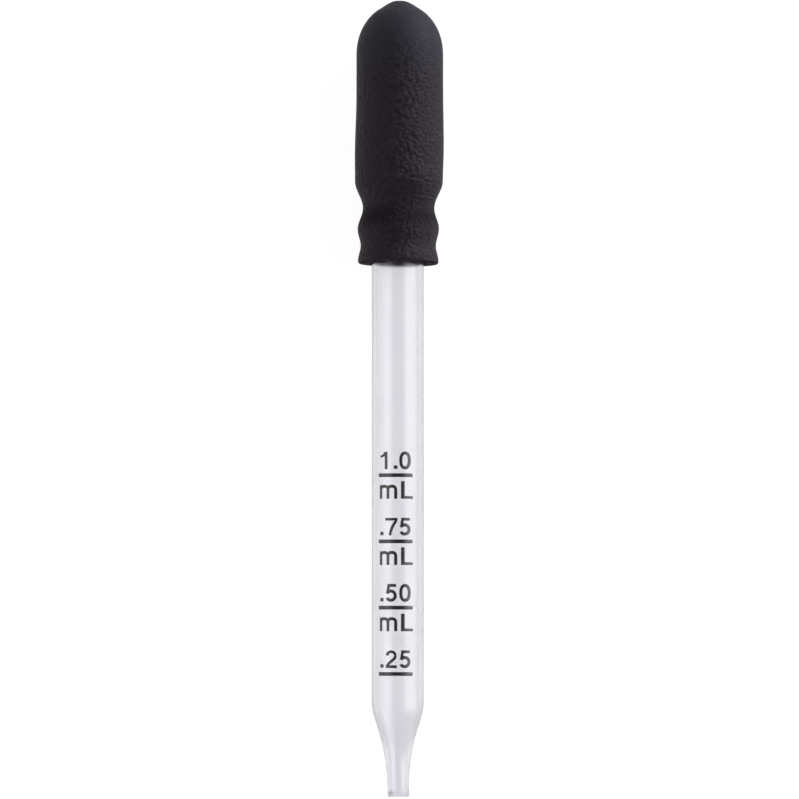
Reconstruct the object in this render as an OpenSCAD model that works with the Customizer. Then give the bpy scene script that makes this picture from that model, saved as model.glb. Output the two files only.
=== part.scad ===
// Dropper pipette: a clear barrel drawn down to a fine tip, with a soft rubber bulb pushed
// over its other end. Millimetres.
// It lies along Y on the plane z = 0, with its tip towards -Y and its bulb towards +Y.
// Both pieces are turned shapes. Each is drawn as a half section of [radius, height] points,
// with the heights counted from the end of the tip.

/* [Barrel] */
// Outside diameter of the barrel
barrel_d = 7; // [5.5:0.1:9]
// Thickness of the barrel's wall
barrel_wall = 0.5; // [0.3:0.05:1]
// Length of the barrel from its tip to the bulb's rim
exposed_len = 71.1; // [50:0.1:120]

/* [Tip, outside] */
// Diameter of the tip's nose
tip_d = 2.8; // [2.3:0.1:4]
// Height at which the cone leaves the nose, as a sharp corner
cone_from = 5; // [4.2:0.1:6]
// Height at which the cone meets the barrel, as a sharp corner
cone_to = 11.7; // [11:0.1:16]
// Radius that blends the nose into the cone
nose_blend_r = 26; // [10:1:28]
// Radius that blends the cone into the barrel
shoulder_blend_r = 8; // [2:1:16]
// Radius on the nose's outer edge
nose_edge_r = 0.3; // [0.05:0.05:0.4]

/* [Tip, bore] */
// Diameter of the orifice in the nose
orifice_d = 1.8; // [1:0.1:2.1]
// Height at which the bore's cone leaves the orifice, as a sharp corner
bore_cone_from = 5.6; // [4.6:0.1:6]
// Height at which the bore's cone meets the straight bore, as a sharp corner
bore_cone_to = 11.4; // [11:0.1:14]
// Radius that blends the orifice into the bore's cone
orifice_blend_r = 14; // [5:1:20]
// Radius that blends the bore's cone into the straight bore
bore_blend_r = 5; // [2:1:10]

/* [Seat under the bulb] */
// Length of barrel inside the bulb
seat_len = 6.2; // [5:0.1:12]
// How far the seat stands out past the barrel's outside
seat_step = 0.2; // [0.2:0.05:0.6]
// Height of the bead that holds the bulb, above the seat
bead_h = 0.4; // [0.2:0.05:0.8]
// Length of the bead along the barrel
bead_len = 2; // [1:0.1:2.4]
// Plain length between the bead and the barrel's end
seat_end_len = 0.3; // [0.25:0.05:1]
// Radius on the outer edge of the barrel's end
seat_edge_r = 0.2; // [0.05:0.05:0.25]

/* [Bulb neck] */
// Thickness of the bulb's wall around the seat
neck_wall = 1.3; // [0.8:0.1:2.5]
// How far the rim stands out past the neck
rim_flare = 0.4; // [0.1:0.05:1]
// Height of the rim's widest ring above the bulb's mouth
rim_rise = 0.45; // [0.4:0.05:1]
// Radius on the rim's lower edge
rim_edge_r = 0.35; // [0.1:0.05:0.4]
// Height of the neck's narrowest ring above the bulb's mouth
neck_rise = 2.5; // [2:0.1:3.5]

/* [Bulb] */
// Diameter of the bulb's straight body
body_d = 11.54; // [10:0.02:16]
// Diameter of the waist between the neck and the body
waist_d = 9.48; // [8:0.02:11]
// Thickness of the bulb's wall
bulb_wall = 1.4; // [0.8:0.1:2.2]
// How far the belly stands out past the straight body
belly_swell = 0.14; // [0:0.02:1]
// How far the shoulder stands out past the straight body
shoulder_swell = 0.08; // [0:0.02:0.8]
// Distance from the barrel's end up to the waist
waist_rise = 1.5; // [0.5:0.1:4]
// Distance from the waist up to the shoulder
shoulder_rise = 3.7; // [2:0.1:8]
// Distance from the shoulder up to the belly
belly_rise = 3.8; // [1:0.1:8]
// Distance over which the belly fades into the straight body
fade_len = 7.8; // [2:0.1:16]
// Length of the straight body
body_len = 5.2; // [1:0.1:30]
// Height of the domed end
dome_len = 6.9; // [4:0.1:12]
// Diameter of the moulding nub on the dome
nub_d = 2.2; // [1:0.1:4]
// Height of the nub's flat above the dome
nub_h = 0.3; // [0.1:0.05:1]
// Radius on the nub's edge
nub_edge_r = 0.2; // [0.05:0.05:0.3]

/* [Hidden] */

$fn = 96;
arc_steps = 8;
swell_steps = 8;
dome_steps = 14;

// Barrel
barrel_r = barrel_d / 2;
bore_r = barrel_r - barrel_wall;
tip_r = tip_d / 2;
orifice_r = orifice_d / 2;
barrel_len = exposed_len + seat_len;
seat_r = barrel_r + seat_step;
bead_z = barrel_len - seat_end_len - bead_len / 2;
bead_r = seat_r + bead_h;

// Bulb, from its mouth upwards
neck_r = seat_r + neck_wall;
rim_r = neck_r + rim_flare;
swelling_r = bead_r + neck_wall;
waist_r = waist_d / 2;
body_r = body_d / 2;
shoulder_r = body_r + shoulder_swell;
belly_r = body_r + belly_swell;
chamber_r = body_r - bulb_wall;
waist_bore_r = waist_r - bulb_wall;
nub_r = nub_d / 2;

waist_z = barrel_len + waist_rise;
shoulder_z = waist_z + shoulder_rise;
belly_z = shoulder_z + belly_rise;
body_z = belly_z + fade_len;
dome_z = body_z + body_len;

// Where the nub's side meets the dome, as an angle up the dome's ellipse
nub_angle = acos(nub_r / body_r);
total_len = dome_z + dome_len + nub_h;
axis_h = max(belly_r, rim_r, swelling_r);

// An arc of radius r that rounds the corner at b, between its legs towards a and c
function corner(a, b, c, r) =
    let (
        leg_a = (a - b) / norm(a - b),
        leg_c = (c - b) / norm(c - b),
        half = acos(leg_a * leg_c) / 2,
        centre = b + (leg_a + leg_c) / norm(leg_a + leg_c) * r / sin(half),
        start = b + leg_a * r / tan(half) - centre,
        finish = b + leg_c * r / tan(half) - centre,
        turn = 180 - 2 * half
    )
    [
        for (i = [0:arc_steps])
            let (t = i / arc_steps)
            centre + (start * sin(turn * (1 - t)) + finish * sin(turn * t)) / sin(turn)
    ];

// A smooth swell from one [radius, height] to the next, level at both ends.
// Its first point is left out, because the path before it ends there.
function swell(a, b) = [
    for (i = [1:swell_steps])
        let (t = i / swell_steps)
        [a[0] + (b[0] - a[0]) * (1 - cos(180 * t)) / 2, a[1] + (b[1] - a[1]) * t]
];

// A point on an elliptical dome of the given radius and rise, at an angle up from its base
function dome_point(r, rise, angle) = [r * cos(angle), dome_z + rise * sin(angle)];

function reversed(path) = [for (i = [len(path) - 1:-1:0]) path[i]];

// The barrel's outside within the bulb, from the rim to the barrel's end face.
// The bulb's bore is this same path, so the two pieces meet face to face.
seat_path = concat(
    [[seat_r, exposed_len], [seat_r, bead_z - bead_len / 2]],
    swell([seat_r, bead_z - bead_len / 2], [bead_r, bead_z]),
    swell([bead_r, bead_z], [seat_r, bead_z + bead_len / 2]),
    corner([seat_r, bead_z], [seat_r, barrel_len], [bore_r, barrel_len], seat_edge_r)
);

// Lays an upright turned piece along Y, with the middle of the whole length over the origin
module lying() {
    translate([0, 0, axis_h])
        rotate([-90, 0, 0])
            translate([0, 0, -total_len / 2])
                children();
}

module barrel() {
    outside = concat(
        corner([orifice_r, 0], [tip_r, 0], [tip_r, cone_from], nose_edge_r),
        corner([tip_r, 0], [tip_r, cone_from], [barrel_r, cone_to], nose_blend_r),
        corner([tip_r, cone_from], [barrel_r, cone_to], [barrel_r, exposed_len], shoulder_blend_r),
        [[barrel_r, exposed_len]]
    );
    bore_blend =
        corner([bore_r, barrel_len], [bore_r, bore_cone_to], [orifice_r, bore_cone_from], bore_blend_r);
    orifice_blend =
        corner([bore_r, bore_cone_to], [orifice_r, bore_cone_from], [orifice_r, 0], orifice_blend_r);
    bore = concat([[bore_r, barrel_len]], bore_blend, orifice_blend, [[orifice_r, 0]]);
    color([0.84, 0.84, 0.88, 0.6])
        lying() rotate_extrude() polygon(concat(outside, seat_path, bore));
}

module bulb() {
    rim = [rim_r, exposed_len + rim_rise];
    neck = [neck_r, exposed_len + neck_rise];
    swelling = [swelling_r, bead_z];
    waist = [waist_r, waist_z];
    shoulder = [shoulder_r, shoulder_z];
    belly = [belly_r, belly_z];
    body = [body_r, body_z];
    side = concat(
        corner([seat_r, exposed_len], [rim_r, exposed_len], rim, rim_edge_r),
        [rim],
        swell(rim, neck),
        swell(neck, swelling),
        swell(swelling, waist),
        swell(waist, shoulder),
        swell(shoulder, belly),
        swell(belly, body)
    );
    dome = [for (i = [0:dome_steps]) dome_point(body_r, dome_len, nub_angle * i / dome_steps)];
    nub = concat(
        corner(dome_point(body_r, dome_len, nub_angle), [nub_r, total_len], [0, total_len], nub_edge_r),
        [[0, total_len]]
    );
    chamber_end =
        [for (i = [dome_steps:-1:0]) dome_point(chamber_r, dome_len - bulb_wall, 90 * i / dome_steps)];
    chamber = concat(
        chamber_end,
        [[chamber_r, shoulder_z]],
        swell([chamber_r, shoulder_z], [waist_bore_r, waist_z]),
        [[waist_bore_r, barrel_len]]
    );
    color([0.13, 0.12, 0.14])
        lying() rotate_extrude() polygon(concat(side, dome, nub, chamber, reversed(seat_path)));
}

barrel();
bulb();
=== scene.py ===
import math

import bmesh
import bpy
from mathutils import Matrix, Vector


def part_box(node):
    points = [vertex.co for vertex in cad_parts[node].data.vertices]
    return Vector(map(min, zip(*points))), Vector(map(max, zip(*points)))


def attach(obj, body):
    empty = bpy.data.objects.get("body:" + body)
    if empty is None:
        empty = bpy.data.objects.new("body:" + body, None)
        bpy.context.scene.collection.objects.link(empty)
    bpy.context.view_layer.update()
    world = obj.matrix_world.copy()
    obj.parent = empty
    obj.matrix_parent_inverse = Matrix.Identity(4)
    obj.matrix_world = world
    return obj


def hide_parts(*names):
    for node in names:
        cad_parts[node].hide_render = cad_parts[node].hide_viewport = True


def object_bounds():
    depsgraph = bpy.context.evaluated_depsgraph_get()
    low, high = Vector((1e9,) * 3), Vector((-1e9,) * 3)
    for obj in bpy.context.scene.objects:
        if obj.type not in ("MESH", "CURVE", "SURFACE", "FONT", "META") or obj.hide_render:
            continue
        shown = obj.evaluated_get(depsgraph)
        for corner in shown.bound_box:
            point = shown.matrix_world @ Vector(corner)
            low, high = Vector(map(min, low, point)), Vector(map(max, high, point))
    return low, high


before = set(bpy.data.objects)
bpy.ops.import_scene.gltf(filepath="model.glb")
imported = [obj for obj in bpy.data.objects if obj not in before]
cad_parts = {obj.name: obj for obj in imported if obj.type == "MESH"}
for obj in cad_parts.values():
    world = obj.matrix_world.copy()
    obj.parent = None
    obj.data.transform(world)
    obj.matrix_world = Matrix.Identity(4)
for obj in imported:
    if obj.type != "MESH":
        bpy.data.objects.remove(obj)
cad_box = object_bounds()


# Barrel: one clear tube with an open bore, moulded in polished plastic. It is drawn down to a
# fine tip whose mouth is rounded off, and its other end has a bead that holds the bulb.
# It is turned on its axis from a half section of [radius, distance from the end of the tip].

MM = 0.001

barrel_low, barrel_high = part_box("barrel")
bulb_low, bulb_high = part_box("bulb")
axis_height = (bulb_low.z + bulb_high.z) / 2
tip_end = barrel_low.y

barrel_radius = 3.5
bore_radius = 3.0
tip_radius = 1.45
orifice_radius = 1.15
seat_radius = 3.7
bead_radius = 4.1

# distances from the end of the tip
cone_from, cone_to = 5.0, 11.7
bore_cone_from, bore_cone_to = 5.6, 11.4
barrel_length = (barrel_high.y - tip_end) / MM
rim_at = (bulb_low.y - tip_end) / MM
seat_at = rim_at + 0.35
bead_from, bead_peak, bead_to = barrel_length - 2.3, barrel_length - 1.3, barrel_length - 0.3

# radii of the corners
nose_edge, mouth_edge, seat_edge = 0.21, 0.08, 0.2
nose_blend, shoulder_blend = 26.0, 8.0
orifice_blend, bore_blend = 14.0, 5.0

# the nose stands a little to the side, most at its end
tip_off, tip_off_length = 0.09, 6.0


def corner(a, b, c, radius, steps=10):
    """An arc that rounds the corner at b, between its legs towards a and c."""
    a, b, c = Vector(a), Vector(b), Vector(c)
    leg_a, leg_c = (a - b).normalized(), (c - b).normalized()
    half = leg_a.angle(leg_c) / 2
    centre = b + (leg_a + leg_c).normalized() * radius / math.sin(half)
    start = b + leg_a * radius / math.tan(half) - centre
    finish = b + leg_c * radius / math.tan(half) - centre
    turn = math.pi - 2 * half
    return [
        centre + (start * math.sin(turn * (1 - i / steps)) + finish * math.sin(turn * i / steps))
        / math.sin(turn)
        for i in range(steps + 1)
    ]


def swell(a, b, steps=10):
    """A smooth swell from a to b, level at both ends. It leaves out a itself."""
    return [
        Vector((a[0] + (b[0] - a[0]) * (1 - math.cos(math.pi * i / steps)) / 2,
                a[1] + (b[1] - a[1]) * i / steps))
        for i in range(1, steps + 1)
    ]


def filled(points, step):
    """The same line of points, with more put in where two are further apart than a step."""
    line = [Vector(points[0])]
    for point in points[1:]:
        gap = Vector(point) - line[-1]
        count = max(1, math.ceil(gap.length / step))
        start = line[-1]
        line += [start + gap * i / count for i in range(1, count + 1)]
    return line


class Signal:
    """One socket's value in a node graph. Arithmetic on it adds Math nodes to that graph."""

    def __init__(self, graph, socket):
        self.graph = graph
        self.socket = socket

    def other(self, name):
        """Another output of the same node."""
        return Signal(self.graph, self.socket.node.outputs[name])

    def math(self, operation, *others):
        """A Math node with this value first."""
        return self.graph.add("ShaderNodeMath", {"operation": operation},
                              dict(enumerate((self, *others))))

    def after(self, operation, value):
        """A Math node with this value second."""
        return self.graph.add("ShaderNodeMath", {"operation": operation}, {0: value, 1: self})

    def __add__(self, value):
        return self.math("ADD", value)

    def __radd__(self, value):
        return self.after("ADD", value)

    def __sub__(self, value):
        return self.math("SUBTRACT", value)

    def __rsub__(self, value):
        return self.after("SUBTRACT", value)

    def __mul__(self, value):
        return self.math("MULTIPLY", value)

    def __rmul__(self, value):
        return self.after("MULTIPLY", value)

    def __truediv__(self, value):
        return self.math("DIVIDE", value)

    def __rtruediv__(self, value):
        return self.after("DIVIDE", value)


class Graph:
    """A node tree under construction."""

    def __init__(self, tree):
        self.tree = tree

    def add(self, kind, settings=None, sockets=None, output=0):
        """Adds a node: its type, then its settings, then the values or links of its sockets."""
        node = self.tree.nodes.new(kind)
        for name, value in (settings or {}).items():
            setattr(node, name, value)
        for name, value in (sockets or {}).items():
            if isinstance(value, Signal):
                self.tree.links.new(value.socket, node.inputs[name])
            else:
                node.inputs[name].default_value = value
        return Signal(self, node.outputs[output]) if node.outputs else None


def node_group(name, inputs):
    """A Geometry Nodes graph with a geometry going in and out, and named inputs for its sizes."""
    tree = bpy.data.node_groups.new(name, "GeometryNodeTree")
    tree.interface.new_socket("Geometry", in_out="INPUT", socket_type="NodeSocketGeometry")
    tree.interface.new_socket("Geometry", in_out="OUTPUT", socket_type="NodeSocketGeometry")
    for label, kind in inputs.items():
        tree.interface.new_socket(label, in_out="INPUT", socket_type="NodeSocket" + kind)
    graph = Graph(tree)
    return graph, graph.add("NodeGroupInput")


def finished_group(graph, geometry, finish):
    """Ends a Geometry Nodes graph: instances made real, then the finish."""
    real = graph.add("GeometryNodeRealizeInstances", {}, {"Geometry": geometry})
    coated = graph.add("GeometryNodeSetMaterial", {}, {"Geometry": real, "Material": finish})
    graph.add("NodeGroupOutput", {}, {"Geometry": coated})
    return graph.tree


def made_by(name, tree, start, values):
    """A plain mesh object: what the node group makes of the starting mesh."""
    maker = bpy.data.objects.new(name + "_maker", start)
    bpy.context.scene.collection.objects.link(maker)
    modifier = maker.modifiers.new("make", "NODES")
    modifier.node_group = tree
    labels = {item.name: item.identifier for item in tree.interface.items_tree
              if item.in_out == "INPUT"}
    for label, value in values.items():
        modifier[labels[label]] = value
    depsgraph = bpy.context.evaluated_depsgraph_get()
    mesh = bpy.data.meshes.new_from_object(maker.evaluated_get(depsgraph))
    mesh.name = name
    bpy.data.objects.remove(maker)
    piece = bpy.data.objects.new(name, mesh)
    bpy.context.scene.collection.objects.link(piece)
    return piece


def lathe_group():
    """Turns a line of points at (radius, sideways, distance) about the axis of the pipette."""
    graph, section = node_group("lathe", {
        "Segments": "Int", "Axis Height": "Float", "Start": "Float", "Mouth": "Float",
        "Mouth Rise": "Float", "Unevenness": "Float", "Seed": "Float", "Finish": "Material"})
    count = graph.add("GeometryNodeAttributeDomainSize", {"component": "MESH"},
                      {"Geometry": section}, "Point Count")
    segments = section.other("Segments")
    sheet = graph.add("GeometryNodeMeshGrid", {}, {"Vertices X": segments + 1, "Vertices Y": count})
    index = graph.add("GeometryNodeInputIndex")
    column = (index / count).math("FLOOR")
    angle = column / segments * math.tau
    point = graph.add("GeometryNodeSampleIndex", {"data_type": "FLOAT_VECTOR"}, {
        "Geometry": section, "Value": graph.add("GeometryNodeInputPosition"),
        "Index": index - column * count})
    radius = graph.add("ShaderNodeSeparateXYZ", {}, {0: point})
    sideways, along = radius.other("Y"), radius.other("Z")
    sine, cosine = angle.math("SINE"), angle.math("COSINE")
    # the mouth draws back on top, and a little on its -X side, and this fades out over 4 mm
    from_mouth = (along - section.other("Mouth")).math("ABSOLUTE") / (4 * MM)
    uneven = cosine * cosine.math("MAXIMUM", 0.0) - sine.math("MINIMUM", 0.0) * 0.35
    drawn_back = (1.0 - from_mouth).math("MAXIMUM", 0.0) * uneven * section.other("Mouth Rise")
    # low hills in the wall, which fade out within 2 mm of the axis
    spot = graph.add("ShaderNodeCombineXYZ", {}, {
        0: sine * (5 * MM), 1: along, 2: cosine * (5 * MM)})
    hills = graph.add("ShaderNodeTexNoise", {"noise_dimensions": "4D"}, {
        "Vector": spot, "W": section.other("Seed"), "Scale": 160.0, "Detail": 1.0}, "Fac")
    off_axis = (radius / (2 * MM)).math("MINIMUM", 1.0)
    out = radius + (hills - 0.5) * off_axis * section.other("Unevenness")
    place = graph.add("ShaderNodeCombineXYZ", {}, {
        0: out * sine + sideways, 1: along + drawn_back + section.other("Start"),
        2: out * cosine + section.other("Axis Height")})
    turned = graph.add("GeometryNodeSetPosition", {}, {"Geometry": sheet, "Position": place})
    closed = graph.add("GeometryNodeMergeByDistance", {}, {"Geometry": turned, "Distance": 0.002 * MM})
    smooth = graph.add("GeometryNodeSetShadeSmooth", {}, {"Geometry": closed})
    fold = graph.add("GeometryNodeInputMeshEdgeAngle").math("GREATER_THAN", math.radians(32))
    creased = graph.add("GeometryNodeSetShadeSmooth", {"domain": "EDGE"}, {
        "Geometry": smooth, "Selection": fold, "Shade Smooth": False})
    return finished_group(graph, creased, section.other("Finish"))


lathe = lathe_group()


def turned_piece(name, section, segments, finish, sideways, unevenness=0.0, mouth=0.0,
                 mouth_rise=0.0):
    """A closed piece turned from a half section in millimetres, with its faces outwards.

    sideways gives how far the axis stands to the side at each distance from the tip's end.
    """
    line = bpy.data.meshes.new(name + "_section")
    line.from_pydata([(r * MM, sideways(d) * MM, d * MM) for r, d in section],
                     [(i, i + 1) for i in range(len(section) - 1)], [])
    piece = made_by(name, lathe, line, {
        "Segments": segments, "Axis Height": axis_height, "Start": tip_end, "Mouth": mouth * MM,
        "Mouth Rise": mouth_rise * MM, "Unevenness": unevenness * MM, "Seed": 4.0, "Finish": finish})
    shell = bmesh.new()
    shell.from_mesh(piece.data)
    # the part of a section that runs along the axis itself is turned into no face
    unused = [vert for vert in shell.verts if not vert.link_faces]
    bmesh.ops.delete(shell, geom=unused, context="VERTS")
    bmesh.ops.recalc_face_normals(shell, faces=shell.faces)
    shell.to_mesh(piece.data)
    shell.free()
    return piece


def new_finish(name):
    """An empty material, its graph, and the place on the piece in millimetres."""
    finish = bpy.data.materials.new(name)
    finish.use_nodes = True
    finish.node_tree.nodes.clear()
    graph = Graph(finish.node_tree)
    place = graph.add("ShaderNodeTexCoord", output="Object")
    scaled = graph.add("ShaderNodeVectorMath", {"operation": "SCALE"}, {0: place, "Scale": 1 / MM})
    return finish, graph, scaled


def noise(graph, place, stretch, scale, detail=2.0, roughness=0.5):
    """A grey noise whose cells are 1 / scale millimetres, stretched along each axis."""
    shaped = graph.add("ShaderNodeVectorMath", {"operation": "MULTIPLY"}, {0: place, 1: stretch})
    return graph.add("ShaderNodeTexNoise", {"noise_dimensions": "3D"}, {
        "Vector": shaped, "Scale": scale, "Detail": detail, "Roughness": roughness}, "Fac")


def between(value, start, end):
    """0 at the start, 1 at the end, and a smooth rise between them. Either may be the larger."""
    return value.graph.add("ShaderNodeMapRange", {"interpolation_type": "SMOOTHSTEP"}, {
        0: value, 1: start, 2: end, 3: 0.0, 4: 1.0})


def coat(graph, sockets):
    """The surface that ends a finish's graph."""
    surface = graph.add("ShaderNodeBsdfPrincipled", {}, sockets)
    graph.add("ShaderNodeOutputMaterial", {}, {"Surface": surface})


def clear_plastic():
    """Clear plastic with a faint cool cast, drawn marks along its length and a little haze.

    Its wall is thicker at the tip, where the mouth is cut. A small dark spot by the mouth is
    painted shade, for the dark that the end's rim refracts.
    """
    finish, graph, place = new_finish("clear_plastic")
    drawn = noise(graph, place, (1.0, 0.035, 1.0), 1.6, 3.0)
    clouds = noise(graph, place, (1.0, 0.5, 1.0), 0.35, 2.0)
    along = graph.add("ShaderNodeSeparateXYZ", {}, {0: place}, "Y") - tip_end / MM
    thick = between(along, 13.5, 7.0)
    coned = thick * between(along, 6.0, 10.0)
    cut = between(along, 1.05, 0.45)
    # a small dark spot by the mouth: painted shade, for the dark that the end's rim refracts
    painted_shade_at = (-0.90, tip_end / MM + 0.54, axis_height / MM + 1.05)
    from_painted_shade = graph.add("ShaderNodeVectorMath", {"operation": "DISTANCE"}, {
        0: place, 1: painted_shade_at}, "Value")
    clean = graph.add("ShaderNodeMix", {"data_type": "RGBA"}, {
        "Factor": clouds * 0.5 + thick * 0.55,
        6: (0.922, 0.918, 0.943, 1), 7: (0.840, 0.834, 0.870, 1)}, 2)
    tint = graph.add("ShaderNodeMix", {"data_type": "RGBA"}, {
        "Factor": between(from_painted_shade, 0.45, 0.15), 6: clean, 7: (0.46, 0.46, 0.45, 1)}, 2)
    relief = graph.add("ShaderNodeBump", {}, {"Strength": 0.12, "Distance": 0.1 * MM, "Height": drawn})
    coat(graph, {
        "Base Color": tint, "Roughness": clouds * 0.1 + coned * 0.12 + cut * 0.2 + 0.10,
        "Normal": relief, "IOR": 1.49, "Transmission Weight": 1.0})
    return finish


def barrel_sideways(distance):
    """How far the barrel's middle stands to the side: only in its nose."""
    return tip_off * max(0.0, 1.0 - distance / tip_off_length)


cone_foot, cone_top = (tip_radius, cone_from), (barrel_radius, cone_to)
bore_foot, bore_top = (orifice_radius, bore_cone_from), (bore_radius, bore_cone_to)
orifice = (orifice_radius, 0)
nose = corner(orifice, (tip_radius, 0), cone_foot, nose_edge)
cone = (
    corner((tip_radius, 0), cone_foot, cone_top, nose_blend)
    + corner(cone_foot, cone_top, (barrel_radius, seat_at), shoulder_blend)
)
seat = (
    [(barrel_radius, seat_at), (seat_radius, seat_at), (seat_radius, bead_from)]
    + swell((seat_radius, bead_from), (bead_radius, bead_peak))
    + swell((bead_radius, bead_peak), (seat_radius, bead_to))
    + corner((seat_radius, bead_peak), (seat_radius, barrel_length), (bore_radius, barrel_length),
             seat_edge)
)
bore = (
    [(bore_radius, barrel_length)]
    + corner((bore_radius, barrel_length), bore_top, bore_foot, bore_blend)
    + corner(bore_top, bore_foot, orifice, orifice_blend)
    + corner(bore_foot, orifice, (tip_radius, 0), mouth_edge)
)
barrel_section = filled(nose + cone + seat + bore + nose[:1], 2.0)
barrel = turned_piece("barrel_tube", barrel_section, 160, clear_plastic(), barrel_sideways)
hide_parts("barrel")
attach(barrel, "root")


# Print: thin black enamel ink, screened on the top of the barrel. A bar marks each quarter of a
# millilitre, with its number above it, and the unit stands under every bar but the lowest.
# Each stroke is one pull of a flat pen, laid out flat and then wrapped round the barrel.

lowest_bar = 16.40
bar_spacing = 8.806
bar_count = 4
bar_ends = (-2.81, 2.09)
number_rise = 0.79
unit_drop = 3.14
pen_width = 0.40
ink_height = 0.02
ink_sunk = 0.004
stroke_lift = 0.0012


def bow(centre, radii, start, end, squareness=2.0, steps=20):
    """Part of an oval, from one angle to another. Above 2, squareness fills out its corners."""
    points = []
    for i in range(steps + 1):
        angle = math.radians(start + (end - start) * i / steps)
        across, up = math.cos(angle), math.sin(angle)
        points.append((
            centre[0] + radii[0] * math.copysign(abs(across) ** (2 / squareness), across),
            centre[1] + radii[1] * math.copysign(abs(up) ** (2 / squareness), up)))
    return points


# each glyph is a list of strokes, as (share of the pen's width, points from its lower left)
glyphs = {
    "0": [(1.06, bow((0.775, 1.175), (0.585, 0.99), 0, 360, 2.3, 44))],
    "1": [(1.02, [(0.865, 0.0), (0.865, 2.33)]),
          (0.8, [(0.0, 1.71), (0.26, 1.74), (0.48, 1.84), (0.63, 2.02), (0.71, 2.26)])],
    "2": [(0.95, bow((0.76, 1.62), (0.56, 0.545), 176, -38, 2.1, 24)
           + [(1.02, 1.10), (0.72, 0.85), (0.43, 0.60), (0.25, 0.36), (0.2, 0.2)]),
          (0.95, [(0.0, 0.18), (1.53, 0.18)])],
    "5": [(0.98, [(0.22, 2.16), (1.43, 2.16)]),
          (0.98, [(0.40, 2.0), (0.25, 1.08)]),
          (1.06, bow((0.72, 0.80), (0.59, 0.61), 152, -153, 2.1, 34))],
    "7": [(0.92, [(0.0, 2.155), (1.70, 2.155)]),
          (0.94, [(1.52, 2.0), (1.27, 1.60), (1.04, 1.22), (0.86, 0.80), (0.74, 0.40), (0.67, 0.0)])],
    ".": [(1.28, [(0.0, 0.04), (0.0, 0.5)])],
    "m": [(1.0, [(0.19, 0.0), (0.19, 1.82)]),
          (1.0, bow((0.725, 1.24), (0.535, 0.43), 165, 0, 2.2) + [(1.26, 0.0)]),
          (1.08, bow((1.795, 1.24), (0.535, 0.43), 165, 0, 2.2) + [(2.33, 0.0)])],
    "L": [(1.28, [(0.21, 0.0), (0.21, 2.35)]), (0.95, [(0.21, 0.19), (1.67, 0.19)])],
}
numbers = [
    [(".", -2.26), ("2", -1.65), ("5", 0.22)],
    [(".", -2.26), ("5", -1.65), ("0", 0.21)],
    [(".", -2.26), ("7", -1.72), ("5", 0.22)],
    [("1", -2.47), (".", -0.28), ("0", 0.21)],
]
unit = [("m", -2.60), ("L", 0.47)]


def written(letters, baseline):
    """The strokes of some letters, each letter at its own distance across the print."""
    return [(pen, [(across + x, baseline + y) for x, y in points])
            for glyph, across in letters for pen, points in glyphs[glyph]]


def print_group():
    """Repeats flat strokes along the barrel, gives them a pen's width, and wraps them round it."""
    graph, strokes = node_group("print", {
        "Rows": "Int", "Row Spacing": "Float", "Start": "Float", "Pen Width": "Float",
        "Ink Height": "Float", "Barrel Radius": "Float", "Axis Height": "Float",
        "Finish": "Material"})
    step = graph.add("ShaderNodeCombineXYZ", {}, {1: strokes.other("Row Spacing")})
    rows = graph.add("GeometryNodeMeshLine", {"mode": "OFFSET"}, {
        "Count": strokes.other("Rows"), "Offset": step})
    copies = graph.add("GeometryNodeInstanceOnPoints", {}, {"Points": rows, "Instance": strokes})
    all_rows = graph.add("GeometryNodeRealizeInstances", {}, {"Geometry": copies})
    lines = graph.add("GeometryNodeMeshToCurve", {}, {"Mesh": all_rows})
    short = graph.add("GeometryNodeResampleCurve", {"mode": "LENGTH"}, {
        "Curve": lines, "Length": 0.07 * MM})
    level = graph.add("GeometryNodeSetCurveNormal", {"mode": "Z_UP"}, {"Curve": short})
    pen = graph.add("GeometryNodeInputNamedAttribute", {"data_type": "FLOAT"}, {"Name": "pen"})
    nib = graph.add("GeometryNodeCurvePrimitiveQuadrilateral", {"mode": "RECTANGLE"}, {
        "Width": strokes.other("Pen Width"), "Height": strokes.other("Ink Height")})
    fine_nib = graph.add("GeometryNodeSubdivideCurve", {}, {"Curve": nib, "Cuts": 4})
    ribbon = graph.add("GeometryNodeCurveToMesh", {}, {
        "Curve": level, "Profile Curve": fine_nib, "Scale": pen, "Fill Caps": True})
    across = graph.add("ShaderNodeSeparateXYZ", {}, {0: graph.add("GeometryNodeInputPosition")})
    radius = across.other("Z") + strokes.other("Barrel Radius")
    angle = across / strokes.other("Barrel Radius")
    place = graph.add("ShaderNodeCombineXYZ", {}, {
        0: radius * angle.math("SINE"), 1: across.other("Y") + strokes.other("Start"),
        2: radius * angle.math("COSINE") + strokes.other("Axis Height")})
    wrapped = graph.add("GeometryNodeSetPosition", {}, {"Geometry": ribbon, "Position": place})
    return finished_group(graph, wrapped, strokes.other("Finish"))


printing = print_group()


def printed_piece(name, strokes, rows, finish):
    """Strokes in millimetres across and along from the lowest bar, as ink on the barrel."""
    points, edges, pens = [], [], []
    for layer, (pen, line) in enumerate(strokes):
        # each stroke lies a little above the last, so no two faces share a place
        lift = ink_height / 2 - ink_sunk + stroke_lift * layer
        closed = math.dist(line[0], line[-1]) < 1e-6
        first = len(points)
        used = line[:-1] if closed else line
        points += [(x * MM, y * MM, lift * MM) for x, y in used]
        edges += [(first + i, first + i + 1) for i in range(len(used) - 1)]
        edges += [(first + len(used) - 1, first)] if closed else []
        pens += [pen] * len(used)
    flat = bpy.data.meshes.new(name + "_strokes")
    flat.from_pydata(points, edges, [])
    flat.attributes.new("pen", "FLOAT", "POINT").data.foreach_set("value", pens)
    piece = made_by(name, printing, flat, {
        "Rows": rows, "Row Spacing": bar_spacing * MM, "Start": tip_end + lowest_bar * MM,
        "Pen Width": pen_width * MM, "Ink Height": ink_height * MM,
        "Barrel Radius": barrel_radius * MM, "Axis Height": axis_height, "Finish": finish})
    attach(piece, "root")


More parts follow.
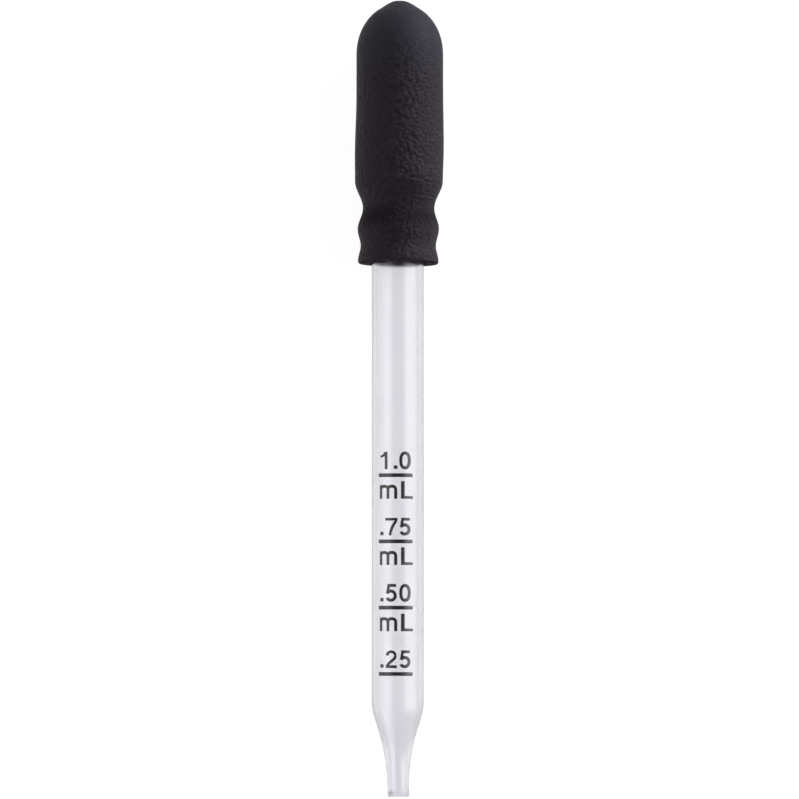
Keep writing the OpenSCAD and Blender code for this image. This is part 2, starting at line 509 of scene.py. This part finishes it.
def enamel_ink():
    """Glossy black enamel, a little thin and grey where the screen left less of it."""
    finish, graph, place = new_finish("enamel_ink")
    thin = noise(graph, place, (1.0, 1.0, 1.0), 2.2, 4.0)
    grain = noise(graph, place, (1.0, 1.0, 1.0), 9.0, 2.0)
    tint = graph.add("ShaderNodeMix", {"data_type": "RGBA"}, {
        "Factor": thin, 6: (0.006, 0.005, 0.006, 1), 7: (0.018, 0.016, 0.017, 1)}, 2)
    relief = graph.add("ShaderNodeBump", {}, {"Strength": 0.2, "Distance": 0.01 * MM, "Height": grain})
    coat(graph, {"Base Color": tint, "Roughness": thin * 0.2 + 0.15, "Normal": relief, "IOR": 1.75})
    return finish


ink = enamel_ink()
printed_piece("print_bars", [(1.27, [(bar_ends[0], 0.0), (bar_ends[1], 0.0)])], bar_count, ink)
printed_piece("print_units", written(unit, bar_spacing - unit_drop), bar_count - 1, ink)
printed_piece("print_numbers", [
    stroke for row, letters in enumerate(numbers)
    for stroke in written(letters, row * bar_spacing + number_rise)], 1, ink)


# Bulb: one soft moulding in black natural rubber, with a hollow body, a domed end that keeps the
# stub of its mould's vent, a waist, and a neck with a rolled rim. It is pushed over the
# barrel's seat, whose bead swells the neck, and it sits a little off the barrel's line.

rim_radius = 5.4
neck_radius = 5.05
swelling_radius = 5.45
waist_radius = 4.79
shoulder_radius = 5.90
belly_radius = (bulb_high.x - bulb_low.x) / 2 / MM + 0.05
body_radius = 5.82
bulb_wall = 1.4
seat_gap = 0.07
rim_edge = 0.35
rim_drawn_back = 0.27

# distances from the end of the tip
rim_ring_at = rim_at + 0.45
neck_at = rim_at + 2.5
swelling_at = bead_peak - 0.15
waist_at = barrel_length + 1.35
shoulder_at = waist_at + 3.7
belly_at = shoulder_at + 3.9
body_at = belly_at + 7.8
crown_at = (bulb_high.y - tip_end) / MM
dome_at = crown_at - 7.3

# the dome is an oval that is a little fuller than an ellipse, with the vent's stub on top
dome_rise = 7.0
dome_fullness = 2.1
dome_steps = 60
chamber_steps = 24
stub_rise = 0.37
stub_radii = (0.5, 2.8)

# the bulb leans to the side from its neck to its middle
neck_off, crown_off = 0.065, 0.27
lean_from, lean_length = barrel_length - 2.0, 16.0


def eased(value, start, end):
    """0 before the start, 1 after the end, and a smooth rise between them."""
    share = min(1.0, max(0.0, (value - start) / (end - start)))
    return share * share * (3 - 2 * share)


def bulb_sideways(distance):
    """How far the bulb's middle stands to the side: a little at its neck, and most at its crown."""
    share = min(1.0, max(0.0, (distance - lean_from) / lean_length))
    return neck_off + (crown_off - neck_off) * share


def black_rubber():
    """Matte black rubber with a dry speckled grain, creases at its waist and a faint bloom.

    The bloom is cooler and lighter on the dome, a painted cast of cool light. Below the waist
    the colour is darker with painted shade. The mouth is a trimmed edge, without the gloss of
    the mould.
    """
    finish, graph, place = new_finish("black_rubber")
    clouds = noise(graph, place, (1.0, 0.7, 1.0), 0.35, 3.0)
    grain = noise(graph, place, (0.75, 0.9, 0.6), 2.5, 1.0, 0.4)
    speck = noise(graph, place, (1.0, 1.0, 1.0), 7.0, 2.0, 0.6)
    crease = noise(graph, place, (0.12, 1.6, 0.12), 2.4, 2.0, 0.4)
    across = graph.add("ShaderNodeSeparateXYZ", {}, {0: place})
    along = across.other("Y") - tip_end / MM
    # the dome's smoother skin, where its colour is also lifted with painted light
    dome_skin_and_painted_light = between(along, dome_at - 4.0, dome_at + 3.0)
    rough = 1.0 - dome_skin_and_painted_light * 0.75
    pinched = between(along, waist_at, waist_at + 1.2)
    pinched = pinched * between(along, shoulder_at + 2.0, shoulder_at + 0.4)
    pinched = pinched * between(across, 0.5, 3.5)
    # a darker band below the waist: painted shade, where less light falls; it is also rougher
    painted_waist_shade = between(along, waist_at - 3.6, waist_at - 1.4)
    painted_waist_shade = painted_waist_shade * between(along, waist_at + 1.0, waist_at - 1.2)
    trimmed = between(along, rim_at + 0.30, rim_at + 0.18)
    # the body's colour is the rubber's own; the dome's cooler colour is a painted cast of cool light
    bloom_and_painted_cool_light = graph.add("ShaderNodeMix", {"data_type": "RGBA"}, {
        "Factor": between(along, dome_at - 5.0, dome_at + 0.5),
        6: (0.0175, 0.0125, 0.0175, 1), 7: (0.0155, 0.0185, 0.0245, 1)}, 2)
    # the dome's share is raised: painted light
    bloom_and_painted_light_share = (grain - 0.5) * rough * 3.0 + clouds * 0.4 + dome_skin_and_painted_light * 0.2 + 0.36
    tint = graph.add("ShaderNodeMix", {"data_type": "RGBA"}, {
        "Factor": bloom_and_painted_light_share - trimmed - painted_waist_shade * 0.36, 6: (0.001, 0.0004, 0.001, 1), 7: bloom_and_painted_cool_light}, 2)
    height = (grain * 0.9 + speck * 0.1) * rough + crease * pinched * 1.2
    relief = graph.add("ShaderNodeBump", {}, {"Strength": 1.0, "Distance": 0.34 * MM, "Height": height})
    coat(graph, {
        "Base Color": tint, "Roughness": grain * 0.4 + clouds * 0.1 + 0.45 + trimmed * 0.5 + painted_waist_shade * 0.2,
        "Normal": relief, "IOR": 1.5, "Specular IOR Level": 0.27,
        "Specular Tint": (0.98, 0.80, 1.0, 1)})
    return finish


def dome_height(radius):
    """How far the dome's outside stands above its foot: an oval, and the vent's soft stub."""
    oval = dome_rise * (1 - (radius / body_radius) ** 2) ** (1 / dome_fullness)
    return min(oval + stub_rise * (1 - eased(radius, *stub_radii)), crown_at - dome_at)


rim = (rim_radius, rim_ring_at)
neck = (neck_radius, neck_at)
swelling = (swelling_radius, swelling_at)
waist = (waist_radius, waist_at)
shoulder = (shoulder_radius, shoulder_at)
belly = (belly_radius, belly_at)
body = (body_radius, body_at)
mouth = (seat_radius + seat_gap, rim_at)
side = (
    [mouth] + corner((seat_radius, rim_at), (rim_radius, rim_at), rim, rim_edge)
    + swell(rim, neck) + swell(neck, swelling) + swell(swelling, waist) + swell(waist, shoulder, 16)
    + swell(shoulder, belly, 8) + swell(belly, body, 16) + [(body_radius, dome_at)]
)
dome_radii = [body_radius * math.cos(math.tau / 4 * i / dome_steps) for i in range(1, dome_steps)]
dome = [(r, dome_at + dome_height(r)) for r in dome_radii + [0.0]]
chamber_radius = body_radius - bulb_wall
chamber_end = [
    (chamber_radius * math.sin(math.tau / 4 * i / chamber_steps),
     dome_at + (dome_rise - bulb_wall) * math.cos(math.tau / 4 * i / chamber_steps))
    for i in range(chamber_steps + 1)
]
chamber_foot = (waist_radius - bulb_wall, waist_at)
chamber = (
    chamber_end + [(chamber_radius, shoulder_at)]
    + swell((chamber_radius, shoulder_at), chamber_foot)
    + [(chamber_foot[0], barrel_length + seat_gap)]
)
# the bulb's bore follows the barrel's seat, a little clear of it
bulb_bore = [(r + seat_gap, min(d, barrel_length + seat_gap)) for r, d in reversed(seat[2:])]
bulb_section = filled(side + dome + chamber, 0.4) + bulb_bore + [mouth]
bulb = turned_piece("bulb_body", bulb_section, 176, black_rubber(), bulb_sideways, unevenness=0.05,
                    mouth=rim_at, mouth_rise=rim_drawn_back)
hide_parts("bulb")
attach(bulb, "root")


# Studio: a pale paper floor that the pipette lies on, in a white room. A long softbox hangs on
# each side of it and a third stands low past the bulb. The camera looks down on the printed side.

floor_reach = 4.0
softbox_distance = 1.2
camera_rise, camera_back, camera_off = 0.670, 0.026, 0.00023
height_filled = 0.99625

floor_mesh = bpy.data.meshes.new("floor")
floor_mesh.from_pydata([(x * floor_reach, y * floor_reach, cad_box[0].z)
                        for x, y in ((-1, -1), (1, -1), (1, 1), (-1, 1))], [], [(0, 1, 2, 3)])
floor = bpy.data.objects.new("floor", floor_mesh)
bpy.context.scene.collection.objects.link(floor)


def pale_floor():
    """Pale paper that keeps shadows, and is lit up to white where the background shows."""
    finish, graph, place = new_finish("pale_floor")
    rays = graph.add("ShaderNodeLightPath", output="Is Camera Ray")
    bounced = rays.other("Is Glossy Ray").math("MAXIMUM", rays.other("Is Transmission Ray"))
    away = graph.add("ShaderNodeVectorMath", {"operation": "LENGTH"}, {0: place}, "Value")
    seen = (rays * (between(away, 200.0, 700.0) * 0.12 + 0.88)).math("MAXIMUM", bounced * 0.75)
    lift = seen * (1.0 - rays.other("Diffuse Depth")).math("MAXIMUM", 0.0)
    glow = graph.add("ShaderNodeCombineXYZ", {}, {0: lift, 1: lift, 2: lift})
    tooth = noise(graph, place, (1.0, 1.0, 1.0), 0.5)
    tint = graph.add("ShaderNodeMix", {"data_type": "RGBA"}, {
        "Factor": tooth, 6: (0.31, 0.31, 0.31, 1), 7: (0.33, 0.33, 0.33, 1)}, 2)
    coat(graph, {"Base Color": tint, "Roughness": 1.0, "Specular IOR Level": 0.0,
                 "Emission Color": glow, "Emission Strength": 1.0})
    return finish


floor_mesh.materials.append(pale_floor())


def white_room():
    """A dim room whose walls look white directly, and in gloss and through clear plastic."""
    world = bpy.data.worlds.new("studio")
    world.use_nodes = True
    world.node_tree.nodes.clear()
    graph = Graph(world.node_tree)
    rays = graph.add("ShaderNodeLightPath", output="Is Camera Ray")
    bounced = rays.other("Is Glossy Ray").math("MAXIMUM", rays.other("Is Transmission Ray"))
    direction = graph.add("ShaderNodeTexCoord", output="Generated")
    rise = graph.add("ShaderNodeSeparateXYZ", {}, {0: direction}, "Z")
    wall = rise.math("LESS_THAN", 0.3) * (1.0 - rays.other("Diffuse Depth")).math("MAXIMUM", 0.0)
    white = rays.math("MAXIMUM", bounced * wall)
    room = graph.add("ShaderNodeBackground", {}, {
        "Color": (1, 1, 1, 1), "Strength": white * 0.85 + 0.15})
    graph.add("ShaderNodeOutputWorld", {}, {"Surface": room})
    return world


bpy.context.scene.world = white_room()


def softbox(name, angles, low, high, glow, colour=(1, 1, 1, 1)):
    """A softbox that glows in a band along Y, between two places.

    Its glow starts, is full, starts to fade and ends at four rising angles off overhead.
    """
    start, full, fading, end = (math.radians(angle) for angle in angles)
    tilt, half = (start + end) / 2, (end - start) / 2
    light = bpy.data.lights.new(name, "AREA")
    light.shape = "RECTANGLE"
    light.size, light.size_y = 2 * softbox_distance * math.tan(half), high - low
    light.energy = glow * math.pi * light.size * light.size_y
    light.use_nodes = True
    light.node_tree.nodes.clear()
    graph = Graph(light.node_tree)
    spot = graph.add("ShaderNodeNewGeometry", output="Parametric")
    across = graph.add("ShaderNodeSeparateXYZ", {}, {0: spot}, "X")
    edges = [(math.tan(angle - tilt) / math.tan(half) + 1) / 2 for angle in (start, full, fading, end)]
    glowing = graph.add("ShaderNodeEmission", {}, {
        "Color": colour, "Strength": between(across, *edges[:2]) * between(across, edges[3], edges[2])})
    graph.add("ShaderNodeOutputLight", {}, {"Surface": glowing})
    lamp = bpy.data.objects.new(name, light)
    lamp.location = (softbox_distance * math.sin(tilt), (low + high) / 2,
                     softbox_distance * math.cos(tilt) + axis_height)
    lamp.rotation_euler = (0, tilt, 0)
    lamp.visible_camera = False
    bpy.context.scene.collection.objects.link(lamp)


softbox("softbox_left", (-82, -52, -42, -18), -1.44, 1.0, 1.25)
softbox("softbox_right", (22, 50, 62, 102), -0.41, 1.2, 2.3)
softbox("softbox_back", (64, 86, 96, 112), 0.40, 2.3, 15.0, (0.90, 0.95, 1.0, 1))

# the pipette fills nearly the whole height of the view
middle = Vector((camera_off, (cad_box[0].y + cad_box[1].y) / 2, axis_height))
camera = bpy.data.objects.new("camera", bpy.data.cameras.new("camera"))
camera.location = middle + Vector((0, -camera_back, camera_rise))
look = middle - Vector((0, camera_off, 0)) - camera.location
camera.rotation_euler = look.to_track_quat("-Z", "Y").to_euler()
camera.data.sensor_width = 36
camera.data.lens = camera.data.sensor_width * look.length * height_filled / (cad_box[1].y - cad_box[0].y)
camera.data.clip_start = 0.01
bpy.context.scene.collection.objects.link(camera)
bpy.context.scene.camera = camera
bpy.context.scene.view_settings.view_transform = "Standard"
